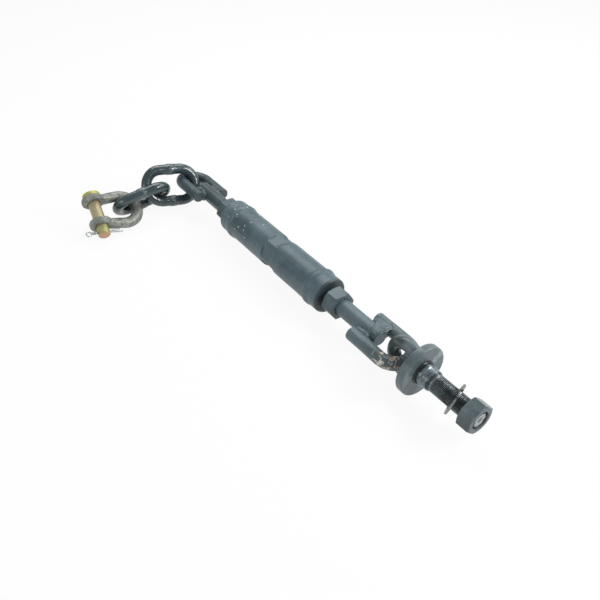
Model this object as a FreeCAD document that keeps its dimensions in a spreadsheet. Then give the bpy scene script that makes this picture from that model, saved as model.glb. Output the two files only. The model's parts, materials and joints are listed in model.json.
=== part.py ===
# Lower link stabiliser: a turnbuckle barrel between an anchor eye bolt and a chain with a bow shackle.
# The origin is the middle of the anchor flange's seating face, +X runs out along the anchor stud,
# +Z is up, and the whole row lies on the ground with the barrel beads and the flange rim touching it.

import FreeCAD, Part
import math
import os
import Sketcher

Vector = FreeCAD.Vector
AXIS_X = Vector(1, 0, 0)
AXIS_Y = Vector(0, 1, 0)
AXIS_Z = Vector(0, 0, 1)

doc = FreeCAD.newDocument("Stabiliser")
sheet = doc.addObject("Spreadsheet::Sheet", "Sizes")

# Driving sizes, in millimetres and degrees
sizes = {
    # turnbuckle barrel
    "barrelLength": 206.0,
    "barrelDiameter": 44.0,
    "tubeWall": 5.0,
    "socketLength": 21.0,
    "spigotLength": 24.0,
    "socketRound": 3.0,
    "beadWidth": 11.0,
    "beadHeight": 2.0,
    "flatDepth": 2.1,
    "flatLength": 24.0,
    "flatOffset": 5.0,
    "barrelTurn": 4.5,
    # threaded rods, their loops and welds
    "threadDiameter": 20.0,
    "threadClearance": 0.05,
    "threadChamfer": 1.5,
    "rodLength": 135.0,
    "rightEngage": 50.0,
    "leftEngage": 52.0,
    "loopBar": 15.4,
    "loopSpacing": 38.0,
    "rightLoopLeg": 47.0,
    "leftLoopLeg": 45.0,
    "loopSetback": 20.8,
    "loopEndRound": 1.6,
    "leftRoll": 14.0,
    "weldReach": 11.0,
    "nearWeldCrown": -0.7,
    "farWeldCrown": 0.7,
    "weldInset": 14.0,
    # hexagon nuts
    "nutAcross": 30.0,
    "lockNutHeight": 17.5,
    "anchorNutHeight": 16.0,
    "nutChamfer": 1.1,
    "boreChamfer": 0.9,
    "jamGap": 4.4,
    "rightNutTurn": 1.6,
    "leftNutTurn": 0.0,
    "anchorNutTurn": 16.2,
    # anchor eye bolt
    "flangeDiameter": 58.0,
    "rowLift": 1.5,
    "flangeThickness": 9.0,
    "flangeRound": 3.0,
    "hubDiameter": 34.0,
    "hubLength": 4.0,
    "bossDiameter": 25.0,
    "bossLength": 7.0,
    "shankDiameter": 23.0,
    "shankEnd": 15.0,
    "threadStart": 18.0,
    "studLength": 74.3,
    "eyeBar": 14.4,
    "eyeReach": 23.2,
    "eyePlay": 0.2,
    "studRecess": 1.0,
    # split ring on the stud
    "ringBore": 25.0,
    "ringDiameter": 34.6,
    "ringThickness": 2.5,
    "ringGap": 3.0,
    "ringOffNut": 16.5,
    "ringTilt": 27.3,
    "ringTurn": -39.5,
    "ringSag": 0.3,
    # chain links
    "linkWire": 14.0,
    "bigLinkLength": 84.0,
    "bigLinkWidth": 57.0,
    "smallLinkLength": 84.7,
    "smallLinkWidth": 50.0,
    "linkSwell": 0.8,
    "swellReach": 8.0,
    # bow shackle and its pin
    "bowBar": 15.4,
    "neckBar": 13.2,
    "bowRadius": 21.0,
    "bowReach": 33.5,
    "earDiameter": 30.0,
    "earThickness": 9.5,
    "jawWidth": 26.0,
    "earRound": 3.4,
    "pinDiameter": 16.0,
    "pinClearance": 0.25,
    "pinHeadDiameter": 24.0,
    "pinHeadHeight": 5.0,
    "pinHeadGap": 0.3,
    "pinLength": 58.8,
    "pinChamfer": 1.4,
    "splitHole": 4.6,
    "splitInset": 5.4,
    "splitWire": 2.0,
    "splitEye": 3.2,
    "splitLeg": 13.0,
}

row = 0
for alias, number in sizes.items():
    row += 1
    sheet.set("A%d" % row, alias)
    sheet.set("B%d" % row, "%g" % number)
    sheet.setAlias("B%d" % row, alias)
doc.recompute()


# A size that keeps its number together with the expression that binds it to the sheet
class Dim:
    def __init__(self, value, text):
        self.value = value
        self.text = text

    def __add__(self, other):
        other = asDim(other)
        return Dim(self.value + other.value, "(%s + %s)" % (self.text, other.text))

    def __sub__(self, other):
        other = asDim(other)
        return Dim(self.value - other.value, "(%s - %s)" % (self.text, other.text))

    def __mul__(self, other):
        other = asDim(other)
        return Dim(self.value * other.value, "(%s * %s)" % (self.text, other.text))

    def __truediv__(self, other):
        other = asDim(other)
        return Dim(self.value / other.value, "(%s / %s)" % (self.text, other.text))

    def __neg__(self):
        return Dim(-self.value, "(0 - %s)" % self.text)


def asDim(item):
    if isinstance(item, Dim):
        return item
    return Dim(float(item), "%g" % item)


def size(alias):
    return Dim(float(sheet.get(alias)), "Sizes." + alias)


tubeBore = size("barrelDiameter") - size("tubeWall") * 2
flatAcross = size("barrelDiameter") - size("flatDepth") * 2


def bind(item, field, dim):
    item.setExpression(field, asDim(dim).text)


# Bodies, sketches and features
def newBody(label):
    body = doc.addObject("PartDesign::Body", label)
    body.Label = label
    return body


def sketchOn(body, name, role, shift=None):
    plane = [f for f in body.Origin.OriginFeatures if f.Role == role][0]
    sketch = body.newObject("Sketcher::SketchObject", name)
    sketch.AttachmentSupport = [(plane, "")]
    sketch.MapMode = "FlatFace"
    if shift is not None:
        shift = asDim(shift)
        sketch.AttachmentOffset = FreeCAD.Placement(Vector(0, 0, shift.value), FreeCAD.Rotation())
        sketch.setExpression("AttachmentOffset.Base.z", shift.text)
    return sketch


def addDatum(sketch, kind, spec, dim):
    dim = asDim(dim)
    index = sketch.addConstraint(Sketcher.Constraint(kind, *spec, dim.value))
    sketch.setExpression("Constraints[%d]" % index, dim.text)


# Holds one coordinate of a sketch point to the origin, on the side where its number lies
def holdPoint(sketch, kind, geo, pos, dim):
    dim = asDim(dim)
    if abs(dim.value) < 1e-9:
        line = -2 if kind == "DistanceX" else -1
        sketch.addConstraint(Sketcher.Constraint("PointOnObject", geo, pos, line))
    elif dim.value > 0:
        addDatum(sketch, kind, (-1, 1, geo, pos), dim)
    else:
        addDatum(sketch, kind, (geo, pos, -1, 1), -dim)


def addCircle(sketch, diameter, across=0, up=0):
    across = asDim(across)
    up = asDim(up)
    centre = Vector(across.value, up.value, 0)
    geo = sketch.addGeometry(Part.Circle(centre, AXIS_Z, asDim(diameter).value / 2))
    if abs(across.value) < 1e-9 and abs(up.value) < 1e-9:
        sketch.addConstraint(Sketcher.Constraint("Coincident", geo, 3, -1, 1))
    else:
        holdPoint(sketch, "DistanceX", geo, 3, across)
        holdPoint(sketch, "DistanceY", geo, 3, up)
    addDatum(sketch, "Diameter", (geo,), diameter)
    return geo


def addPolygon(sketch, corners):
    points = [Vector(asDim(x).value, asDim(y).value, 0) for x, y in corners]
    count = len(points)
    first = sketch.GeometryCount
    for i in range(count):
        sketch.addGeometry(Part.LineSegment(points[i], points[(i + 1) % count]))
    for i in range(count):
        after = first + (i + 1) % count
        sketch.addConstraint(Sketcher.Constraint("Coincident", first + i, 2, after, 1))
    for i in range(count):
        holdPoint(sketch, "DistanceX", first + i, 1, corners[i][0])
        holdPoint(sketch, "DistanceY", first + i, 1, corners[i][1])


def addHexagon(sketch, across):
    reach = across / math.cos(math.pi / 6)
    rim = sketch.addGeometry(Part.Circle(Vector(), AXIS_Z, reach.value / 2), True)
    sketch.addConstraint(Sketcher.Constraint("Coincident", rim, 3, -1, 1))
    addDatum(sketch, "Diameter", (rim,), reach)
    corners = []
    for i in range(6):
        angle = math.radians(60 * i)
        corners.append(Vector(math.cos(angle), math.sin(angle), 0) * (reach.value / 2))
    first = sketch.GeometryCount
    for i in range(6):
        sketch.addGeometry(Part.LineSegment(corners[i], corners[(i + 1) % 6]))
    for i in range(6):
        after = first + (i + 1) % 6
        sketch.addConstraint(Sketcher.Constraint("Coincident", first + i, 2, after, 1))
        sketch.addConstraint(Sketcher.Constraint("PointOnObject", first + i, 1, rim))
    for i in range(1, 6):
        sketch.addConstraint(Sketcher.Constraint("Equal", first, first + i))
    sketch.addConstraint(Sketcher.Constraint("Horizontal", first + 1))


def pad(body, sketch, length, middle=False, backward=False):
    feature = body.newObject("PartDesign::Pad", sketch.Name + "Pad")
    feature.Profile = sketch
    feature.Midplane = middle
    feature.Reversed = backward
    bind(feature, "Length", length)
    return feature


def cutAlong(body, sketch, length):
    feature = body.newObject("PartDesign::Pocket", sketch.Name + "Cut")
    feature.Profile = sketch
    feature.Midplane = True
    bind(feature, "Length", length)
    return feature


def turnedAboutX(body, sketch, kind="PartDesign::Revolution"):
    feature = body.newObject(kind, sketch.Name + "Turned")
    feature.Profile = sketch
    feature.ReferenceAxis = (sketch, ["H_Axis"])
    feature.Angle = 360
    return feature


def edgesWhere(feature, test):
    names = []
    for number, edge in enumerate(feature.Shape.Edges, 1):
        if test(edge):
            names.append("Edge%d" % number)
    return names


# Circular edges of one radius at one place along X
def ringEdges(feature, place, radius):
    def matches(edge):
        curve = edge.Curve
        if not isinstance(curve, Part.Circle):
            return False
        return abs(curve.Radius - radius.value) < 1e-4 and abs(curve.Center.x - place.value) < 1e-4

    return edgesWhere(feature, matches)


def dress(body, kind, name, base, edges, field, dim):
    feature = body.newObject(kind, name)
    feature.Base = (base, edges)
    bind(feature, field, dim)
    return feature


def place(item, x, y, z, rotation=FreeCAD.Rotation()):
    item.Placement = FreeCAD.Placement(Vector(x.value, y.value, z.value), rotation)
    bind(item, "Placement.Base.x", x)
    bind(item, "Placement.Base.y", y)
    bind(item, "Placement.Base.z", z)


def turnX(angle):
    return FreeCAD.Rotation(AXIS_X, asDim(angle).value)


HALF_TURN = FreeCAD.Rotation(AXIS_Z, 180)
ZERO = asDim(0)
parts = []

# Places along the row, each taken from its neighbour's
threadBore = size("threadDiameter") + size("threadClearance") * 2
rowDrop = size("flangeDiameter") / 2 - size("barrelDiameter") / 2 - size("beadHeight") - size("rowLift")
rowHeight = -rowDrop
crownRadius = size("loopSpacing") / 2
rightCrown = -size("eyeReach") - crownRadius
rightRodEnd = rightCrown - size("loopSetback")
rightRodStart = rightRodEnd - size("rodLength")
barrelRight = rightRodStart + size("rightEngage")
barrelMiddle = barrelRight - size("barrelLength") / 2
barrelLeft = barrelRight - size("barrelLength")
leftRodStart = barrelLeft + size("leftEngage")
leftRodEnd = leftRodStart - size("rodLength")
leftCrown = leftRodEnd - size("loopSetback")


# Barrel tube with six spanner flats round its middle
tube = newBody("barrel_tube")
section = sketchOn(tube, "TubeSection", "YZ_Plane")
addCircle(section, size("barrelDiameter"))
addCircle(section, tubeBore)
tubeLength = size("barrelLength") - size("socketLength") * 2
pad(tube, section, tubeLength, middle=True)
flats = sketchOn(tube, "Flats", "YZ_Plane", size("flatOffset"))
addCircle(flats, size("barrelDiameter") * 1.2)
addHexagon(flats, flatAcross)
flatCut = cutAlong(tube, flats, size("flatLength"))
place(tube, barrelMiddle, ZERO, rowHeight, turnX(size("barrelTurn")))
parts.append(tube)


# Threaded end socket: a rounded head the size of the tube with a spigot that plugs into it
def buildSocket(label, head, rotation):
    body = newBody(label)
    headDisc = sketchOn(body, label + "Head", "YZ_Plane")
    addCircle(headDisc, size("barrelDiameter"))
    pad(body, headDisc, size("socketLength"))
    spigot = sketchOn(body, label + "Spigot", "YZ_Plane")
    addCircle(spigot, tubeBore)
    pad(body, spigot, size("spigotLength"), backward=True)
    bore = sketchOn(body, label + "Bore", "YZ_Plane")
    addCircle(bore, threadBore)
    cut = cutAlong(body, bore, (size("socketLength") + size("spigotLength")) * 3)
    doc.recompute()
    rim = ringEdges(cut, size("socketLength"), size("barrelDiameter") / 2)
    rounded = dress(body, "PartDesign::Fillet", label + "Round", cut, rim, "Radius", size("socketRound"))
    doc.recompute()
    mouth = ringEdges(rounded, size("socketLength"), threadBore / 2)
    dress(body, "PartDesign::Chamfer", label + "Mouth", rounded, mouth, "Size", size("threadChamfer"))
    place(body, head, ZERO, rowHeight, rotation)
    parts.append(body)


buildSocket("right_socket", barrelRight - size("socketLength"), FreeCAD.Rotation())
buildSocket("left_socket", barrelLeft + size("socketLength"), HALF_TURN)


# Raised weld bead that runs round the joint of tube and socket
def buildBead(label, middle):
    body = newBody(label)
    profile = sketchOn(body, label + "Profile", "XY_Plane")
    half = size("beadWidth") / 2
    skin = size("barrelDiameter") / 2
    top = skin + size("beadHeight")
    left = Vector(-half.value, skin.value, 0)
    right = Vector(half.value, skin.value, 0)
    profile.addGeometry(Part.LineSegment(left, right))
    profile.addGeometry(Part.Arc(right, Vector(0, top.value, 0), left))
    profile.addConstraint(Sketcher.Constraint("Coincident", 0, 1, 1, 2))
    profile.addConstraint(Sketcher.Constraint("Coincident", 0, 2, 1, 1))
    profile.addConstraint(Sketcher.Constraint("PointOnObject", 1, 3, -2))
    holdPoint(profile, "DistanceX", 0, 1, -half)
    holdPoint(profile, "DistanceY", 0, 1, skin)
    holdPoint(profile, "DistanceY", 0, 2, skin)
    radius = (half * half + size("beadHeight") * size("beadHeight")) / (size("beadHeight") * 2)
    addDatum(profile, "Radius", (1,), radius)
    turnedAboutX(body, profile)
    place(body, middle, ZERO, rowHeight)
    parts.append(body)


buildBead("right_bead", barrelRight - size("socketLength"))
buildBead("left_bead", barrelLeft + size("socketLength"))


# Round threaded rod with chamfered ends
def buildRod(label, start):
    body = newBody(label)
    section = sketchOn(body, label + "Section", "YZ_Plane")
    addCircle(section, size("threadDiameter"))
    bar = pad(body, section, size("rodLength"))
    doc.recompute()
    ends = ringEdges(bar, ZERO, size("threadDiameter") / 2)
    ends += ringEdges(bar, size("rodLength"), size("threadDiameter") / 2)
    dress(body, "PartDesign::Chamfer", label + "Ends", bar, ends, "Size", size("threadChamfer"))
    place(body, start, ZERO, rowHeight)
    parts.append(body)


buildRod("right_rod", rightRodStart)
buildRod("left_rod", leftRodEnd)


# Hexagon nut: bevelled corners on both faces and a chamfered bore
def buildNut(label, height, seat, level, turn):
    body = newBody(label)
    section = sketchOn(body, label + "Hexagon", "YZ_Plane")
    addHexagon(section, size("nutAcross"))
    pad(body, section, height)
    bore = sketchOn(body, label + "Bore", "YZ_Plane")
    addCircle(bore, threadBore)
    cutAlong(body, bore, height * 3)
    bevel = sketchOn(body, label + "Bevel", "XY_Plane")
    flat = size("nutAcross") / 2
    depth = size("nutChamfer") * 2
    outside = flat + depth * 2
    addPolygon(bevel, [(-depth, flat), (ZERO - 0.01, flat - 0.6), (depth, outside), (-depth, outside)])
    groove = turnedAboutX(body, bevel, "PartDesign::Groove")
    far = sketchOn(body, label + "FarBevel", "XY_Plane")
    corners = [(height + depth, flat), (height + 0.01, flat - 0.6)]
    corners += [(height - depth, outside), (height + depth, outside)]
    addPolygon(far, corners)
    groove = turnedAboutX(body, far, "PartDesign::Groove")
    doc.recompute()
    mouths = ringEdges(groove, ZERO, threadBore / 2) + ringEdges(groove, height, threadBore / 2)
    dress(body, "PartDesign::Chamfer", label + "Mouths", groove, mouths, "Size", size("boreChamfer"))
    place(body, seat, ZERO, level, turnX(turn))
    parts.append(body)


buildNut("right_lock_nut", size("lockNutHeight"), barrelRight + size("jamGap"), rowHeight, size("rightNutTurn"))
buildNut("left_lock_nut", size("lockNutHeight"), barrelLeft - size("lockNutHeight"), rowHeight, size("leftNutTurn"))
nutSeat = size("studLength") + size("studRecess") - size("anchorNutHeight")
buildNut("anchor_nut", size("anchorNutHeight"), nutSeat, ZERO, size("anchorNutTurn"))


# Loop bent from round bar: two straight legs and a half-circle crown towards -X
def buildLoop(label, crown, rotation, reach):
    body = newBody(label)
    path = sketchOn(body, label + "Path", "XY_Plane")
    half = crownRadius.value
    leg = reach.value
    path.addGeometry(Part.LineSegment(Vector(leg, -half, 0), Vector(0, -half, 0)))
    bend = Part.Arc(Vector(0, half, 0), Vector(-half, 0, 0), Vector(0, -half, 0))
    path.addGeometry(bend)
    path.addGeometry(Part.LineSegment(Vector(0, half, 0), Vector(leg, half, 0)))
    path.addConstraint(Sketcher.Constraint("Coincident", 0, 2, 1, 2))
    path.addConstraint(Sketcher.Constraint("Coincident", 2, 1, 1, 1))
    path.addConstraint(Sketcher.Constraint("Coincident", 1, 3, -1, 1))
    path.addConstraint(Sketcher.Constraint("PointOnObject", 1, 1, -2))
    path.addConstraint(Sketcher.Constraint("PointOnObject", 1, 2, -2))
    path.addConstraint(Sketcher.Constraint("Horizontal", 0))
    path.addConstraint(Sketcher.Constraint("Horizontal", 2))
    addDatum(path, "Radius", (1,), crownRadius)
    addDatum(path, "DistanceX", (-1, 1, 0, 1), reach)
    addDatum(path, "DistanceX", (-1, 1, 2, 2), reach)
    section = sketchOn(body, label + "Section", "YZ_Plane", reach)
    addCircle(section, size("loopBar"), -crownRadius, ZERO)
    bar = body.newObject("PartDesign::AdditivePipe", label + "Bar")
    bar.Profile = section
    bar.Spine = (path, ["Edge1", "Edge2", "Edge3"])
    doc.recompute()
    ends = ringEdges(bar, reach, size("loopBar") / 2)
    dress(body, "PartDesign::Fillet", label + "Ends", bar, ends, "Radius", size("loopEndRound"))
    place(body, crown, ZERO, rowHeight, rotation)
    parts.append(body)
    return body


rightLoop = buildLoop("right_loop", rightCrown, HALF_TURN, size("rightLoopLeg"))
leftRoll = turnX(-size("leftRoll"))
leftLoop = buildLoop("left_loop", leftCrown, leftRoll, size("leftLoopLeg"))


# Weld in the groove between a rod and one leg of its loop: it follows both bars and bulges over and under
def buildWeld(label, middle, side, rotation):
    body = newBody(label)
    section = sketchOn(body, label + "Section", "YZ_Plane")
    rod = size("threadDiameter") / 2
    leg = size("loopBar") / 2
    spread = math.cos(math.radians(52))
    height = math.sin(math.radians(52))
    rodTop = Vector(side * rod.value * spread, rod.value * height, 0)
    rodLow = Vector(rodTop.x, -rodTop.y, 0)
    legTop = Vector(side * (crownRadius.value - leg.value * spread), leg.value * height, 0)
    legLow = Vector(legTop.x, -legTop.y, 0)
    rodSide = Vector(side * rod.value, 0, 0)
    legSide = Vector(side * (crownRadius - leg).value, 0, 0)
    topMiddle = (rodTop + legTop) / 2 + Vector(0, size("nearWeldCrown" if side < 0 else "farWeldCrown").value, 0)
    lowMiddle = Vector(topMiddle.x, -topMiddle.y, 0)
    section.addGeometry(Part.Arc(rodTop, rodSide, rodLow))
    section.addGeometry(Part.Arc(rodLow, lowMiddle, legLow))
    section.addGeometry(Part.Arc(legLow, legSide, legTop))
    section.addGeometry(Part.Arc(legTop, topMiddle, rodTop))
    for geo in range(4):
        section.addConstraint(Sketcher.Constraint("Block", geo))
    pad(body, section, size("weldReach") * 2, middle=True)
    place(body, middle, ZERO, rowHeight, rotation)
    parts.append(body)


buildWeld("right_weld_near", rightRodEnd - size("weldInset"), -1, FreeCAD.Rotation())
buildWeld("right_weld_far", rightRodEnd - size("weldInset"), 1, FreeCAD.Rotation())
buildWeld("left_weld_near", leftRodEnd + size("weldInset"), -1, leftRoll)
buildWeld("left_weld_far", leftRodEnd + size("weldInset"), 1, leftRoll)


# Anchor eye bolt, one forging: eye ring, hub, flange, boss, shank and stud
anchor = newBody("anchor_bolt")
lathe = sketchOn(anchor, "AnchorTurning", "XY_Plane")
flange = size("flangeDiameter") / 2
back = -size("flangeThickness")
hubBack = back - size("hubLength")
thread = size("threadDiameter") / 2
tip = size("studLength") - size("threadChamfer")
outline = [(hubBack, ZERO), (hubBack, size("bossDiameter") / 2), (back, size("hubDiameter") / 2)]
outline += [(back, flange), (ZERO, flange), (ZERO, size("bossDiameter") / 2)]
outline += [(size("bossLength"), size("bossDiameter") / 2), (size("bossLength"), size("shankDiameter") / 2)]
outline += [(size("shankEnd"), size("shankDiameter") / 2), (size("threadStart"), thread)]
outline += [(tip, thread), (size("studLength"), thread - size("threadChamfer")), (size("studLength"), ZERO)]
addPolygon(lathe, outline)
turned = turnedAboutX(anchor, lathe)
doc.recompute()
rims = ringEdges(turned, back, flange) + ringEdges(turned, ZERO, flange)
rimRound = dress(anchor, "PartDesign::Fillet", "FlangeRound", turned, rims, "Radius", size("flangeRound"))
eyeHole = rowDrop + size("loopBar") / 2 + size("eyePlay")
eyeRadius = eyeHole + size("eyeBar") / 2
eye = anchor.newObject("PartDesign::AdditiveTorus", "EyeRing")
xzPlane = [f for f in anchor.Origin.OriginFeatures if f.Role == "XZ_Plane"][0]
eye.AttachmentSupport = [(xzPlane, "")]
eye.MapMode = "FlatFace"
eye.AttachmentOffset = FreeCAD.Placement(Vector(-size("eyeReach").value, 0, 0), FreeCAD.Rotation())
eye.setExpression("AttachmentOffset.Base.x", (-size("eyeReach")).text)
bind(eye, "Radius1", eyeRadius)
bind(eye, "Radius2", size("eyeBar") / 2)
parts.append(anchor)


# Split ring hanging aslant on the stud, its ends a little apart
ring = newBody("split_ring")
ringSection = sketchOn(ring, "RingSection", "YZ_Plane")
addCircle(ringSection, size("ringDiameter"))
addCircle(ringSection, size("ringBore"))
pad(ring, ringSection, size("ringThickness"), middle=True)
slot = sketchOn(ring, "RingSlot", "YZ_Plane")
halfGap = size("ringGap") / 2
slotCorners = [(-halfGap, size("ringBore") / 4), (halfGap, size("ringBore") / 4)]
slotCorners += [(halfGap, size("ringDiameter")), (-halfGap, size("ringDiameter"))]
addPolygon(slot, slotCorners)
cutAlong(ring, slot, size("ringThickness") * 3)
fall = math.radians(size("ringTurn").value)
tilt = math.radians(size("ringTilt").value)
facing = Vector(math.cos(tilt), math.sin(tilt) * math.cos(fall), math.sin(tilt) * math.sin(fall))
lean = FreeCAD.Rotation(AXIS_X, facing)
place(ring, nutSeat - size("ringOffNut"), size("ringSag") * math.cos(fall), size("ringSag") * math.sin(fall), lean)
parts.append(ring)


# Chain link: a closed oval bar with a weld swelling in the middle of each side
def buildLink(label, length, width):
    body = newBody(label)
    path = sketchOn(body, label + "Path", "XY_Plane")
    arm = (width - size("linkWire")) / 2
    run = (length - width) / 2
    r = arm.value
    s = run.value
    path.addGeometry(Part.LineSegment(Vector(0, -r, 0), Vector(s, -r, 0)))
    path.addGeometry(Part.Arc(Vector(s, -r, 0), Vector(s + r, 0, 0), Vector(s, r, 0)))
    path.addGeometry(Part.LineSegment(Vector(s, r, 0), Vector(-s, r, 0)))
    path.addGeometry(Part.Arc(Vector(-s, r, 0), Vector(-s - r, 0, 0), Vector(-s, -r, 0)))
    path.addGeometry(Part.LineSegment(Vector(-s, -r, 0), Vector(0, -r, 0)))
    for first, second in ((0, 1), (1, 2), (2, 3), (3, 4), (4, 0)):
        path.addConstraint(Sketcher.Constraint("Coincident", first, 2, second, 1))
    for bend, pos in ((1, 1), (1, 2), (3, 1), (3, 2)):
        path.addConstraint(Sketcher.Constraint("Vertical", bend, pos, bend, 3))
    path.addConstraint(Sketcher.Constraint("Horizontal", 0))
    path.addConstraint(Sketcher.Constraint("PointOnObject", 0, 1, -2))
    path.addConstraint(Sketcher.Constraint("PointOnObject", 1, 3, -1))
    path.addConstraint(Sketcher.Constraint("PointOnObject", 3, 3, -1))
    addDatum(path, "DistanceX", (-1, 1, 1, 3), run)
    addDatum(path, "DistanceX", (3, 3, -1, 1), run)
    addDatum(path, "Radius", (1,), arm)
    addDatum(path, "Radius", (3,), arm)
    section = sketchOn(body, label + "Section", "YZ_Plane")
    addCircle(section, size("linkWire"), -arm, ZERO)
    bar = body.newObject("PartDesign::AdditivePipe", label + "Bar")
    bar.Profile = section
    bar.Spine = (path, ["Edge1", "Edge2", "Edge3", "Edge4", "Edge5"])
    for side in (-1, 1):
        bulge = sketchOn(body, label + ("Near" if side < 0 else "Far"), "XY_Plane")
        bulge.AttachmentOffset = FreeCAD.Placement(Vector(0, side * r, 0), FreeCAD.Rotation())
        bulge.setExpression("AttachmentOffset.Base.y", (arm * side).text)
        reach = size("swellReach").value
        low = size("linkWire").value / 2 - 0.4
        crest = size("linkWire").value / 2 + size("linkSwell").value
        bulge.addGeometry(Part.LineSegment(Vector(-reach, 0, 0), Vector(reach, 0, 0)))
        bulge.addGeometry(Part.LineSegment(Vector(reach, 0, 0), Vector(reach, low, 0)))
        bulge.addGeometry(Part.Arc(Vector(reach, low, 0), Vector(0, crest, 0), Vector(-reach, low, 0)))
        bulge.addGeometry(Part.LineSegment(Vector(-reach, low, 0), Vector(-reach, 0, 0)))
        for geo in range(4):
            bulge.addConstraint(Sketcher.Constraint("Block", geo))
        turnedAboutX(body, bulge)
    parts.append(body)
    return body


# Rotation whose X, Y and Z axes are the long axis, the width and the normal of a link
def aimed(along, across):
    along = Vector(*along).normalize()
    across = Vector(*across)
    across = (across - along * across.dot(along)).normalize()
    normal = along.cross(across)
    matrix = FreeCAD.Matrix()
    matrix.A11, matrix.A21, matrix.A31 = along.x, along.y, along.z
    matrix.A12, matrix.A22, matrix.A32 = across.x, across.y, across.z
    matrix.A13, matrix.A23, matrix.A33 = normal.x, normal.y, normal.z
    return FreeCAD.Rotation(matrix)


# Centre line point of a link's rounded end, at an angle from its long axis
def linkEnd(length, width, side, angle):
    arm = (width - size("linkWire")).value / 2
    run = (length - width).value / 2
    turn = math.radians(angle)
    return Vector(side * (run + arm * math.cos(turn)), arm * math.sin(turn), 0)


# Centre line point of a loop's or bow's rounded end
def arcPoint(centre, radius, angle):
    turn = math.radians(angle)
    return Vector(centre + radius * math.cos(turn), radius * math.sin(turn), 0)


# Hangs a piece on the bar that carries it: the two centre lines pass at the bars' radii plus the slack
def hang(carrier, carrierPoint, bars, slack, direction, rotation, point):
    seat = carrier.Placement.multVec(carrierPoint)
    apart = asDim(bars).value / 2 + slack
    centre = seat + Vector(*direction).normalize() * apart - rotation.multVec(point)
    return FreeCAD.Placement(centre, rotation)


bigLink = buildLink("chain_link_big", size("bigLinkLength"), size("bigLinkWidth"))
smallLink = buildLink("chain_link_small", size("smallLinkLength"), size("smallLinkWidth"))
doc.recompute()

bigLength = size("bigLinkLength")
bigWidth = size("bigLinkWidth")
smallLength = size("smallLinkLength")
smallWidth = size("smallLinkWidth")
bigLink.Placement = hang(
    leftLoop,
    arcPoint(0, crownRadius.value, 221.2),
    size("loopBar") + size("linkWire"),
    0.34,
    (0.4747, 0.5946, 0.6489),
    aimed((0.151, 0.9738, -0.1702), (-0.4479, 0.2209, 0.8663)),
    linkEnd(bigLength, bigWidth, 1, 41.8),
)
smallRun = (smallLength - smallWidth).value / 2
smallArm = (smallWidth - size("linkWire")).value / 2
smallLink.Placement = hang(
    bigLink,
    linkEnd(bigLength, bigWidth, -1, -12.3),
    size("linkWire") * 2,
    0.28,
    (0.876, -0.1361, 0.4628),
    aimed((0.0906, 0.9873, 0.1305), (0.5959, -0.1587, 0.7872)),
    Vector(smallRun * 0.635, smallArm, 0),
)

# Bow shackle, one forging: the bow swells from flat necks at the ears to a full round crown
def buildShackle():
    reach = size("bowReach").value
    radius = size("bowRadius").value
    earMiddle = (size("jawWidth") + size("earThickness")).value / 2
    outward = math.atan2(-earMiddle, -reach)
    touch = outward + math.acos(radius / math.hypot(reach, earMiddle))
    start = Vector(0, -earMiddle, 0)
    low = Vector(reach + radius * math.cos(touch), radius * math.sin(touch), 0)
    high = Vector(low.x, -low.y, 0)
    crown = Vector(reach + radius, 0, 0)
    finish = Vector(0, earMiddle, 0)
    spine = Part.Wire([
        Part.makeLine(start, low),
        Part.Arc(low, crown, high).toShape(),
        Part.makeLine(high, finish),
    ])
    arm = (low - start).normalize()
    neck = size("neckBar").value / 2
    full = size("bowBar").value / 2
    thick = size("earThickness").value / 2

    def section(centre, heading, halfHeight, halfWidth):
        upright = halfHeight > halfWidth
        major = AXIS_Z if upright else heading.cross(AXIS_Z)
        oval = Part.Ellipse(
            centre + major * max(halfHeight, halfWidth),
            centre + heading.cross(major) * min(halfHeight, halfWidth),
            centre,
        )
        return Part.Wire([oval.toShape()])

    stations = []
    for share, tall, wide in ((0.0, thick * 1.55, thick * 0.9), (0.42, neck * 1.25, neck * 0.98)):
        stations.append((start + (low - start) * share, arm, tall, wide))
    stations.append((low, arm, (neck + full) / 2 + 0.05, (neck + full) / 2))
    shell = Part.BRepOffsetAPI.MakePipeShell(spine)
    shell.setBiNormalMode(AXIS_Z)
    for centre, heading, tall, wide in stations:
        shell.add(section(centre, heading, tall, wide))
    shell.add(section(crown, AXIS_Y, full + 0.05, full))
    for centre, heading, tall, wide in reversed(stations):
        mirrored = Vector(centre.x, -centre.y, 0)
        shell.add(section(mirrored, Vector(-heading.x, heading.y, 0), tall, wide))
    shell.build()
    shell.makeSolid()
    solid = shell.shape()
    for side in (-1, 1):
        inner = size("jawWidth").value / 2
        base = Vector(0, inner if side > 0 else -inner - size("earThickness").value, 0)
        ear = Part.makeCylinder(size("earDiameter").value / 2, size("earThickness").value, base, AXIS_Y)
        rims = [e for e in ear.Edges if isinstance(e.Curve, Part.Circle)]
        ear = ear.makeFillet(size("earRound").value, rims)
        solid = solid.fuse(ear)
    hole = (size("pinDiameter") / 2 + size("pinClearance")).value
    span = earMiddle * 4
    solid = solid.cut(Part.makeCylinder(hole, span, Vector(0, -span / 2, 0), AXIS_Y))
    # the back ear is faced flat where the pin's head sits
    seat = Vector(0, -(size("jawWidth") / 2 + size("earThickness")).value, 0)
    faced = (size("pinHeadDiameter") / 2 + size("pinHeadGap") * 2).value
    solid = solid.cut(Part.makeCylinder(faced, span, seat, -AXIS_Y))
    return solid.removeSplitter()


shackle = doc.addObject("Part::Feature", "shackle_bow")
shackle.Label = "shackle_bow"
shackle.Shape = buildShackle()
shackle.Placement = hang(
    smallLink,
    Vector(smallRun * -0.711, -smallArm, 0),
    size("linkWire") + size("bowBar"),
    0.3,
    (0.5707, -0.1537, 0.8066),
    aimed((0.0648, 0.9797, -0.1896), (0.8616, -0.1508, -0.4847)),
    arcPoint(size("bowReach").value, size("bowRadius").value, -23.7),
)
parts.append(shackle)

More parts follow.
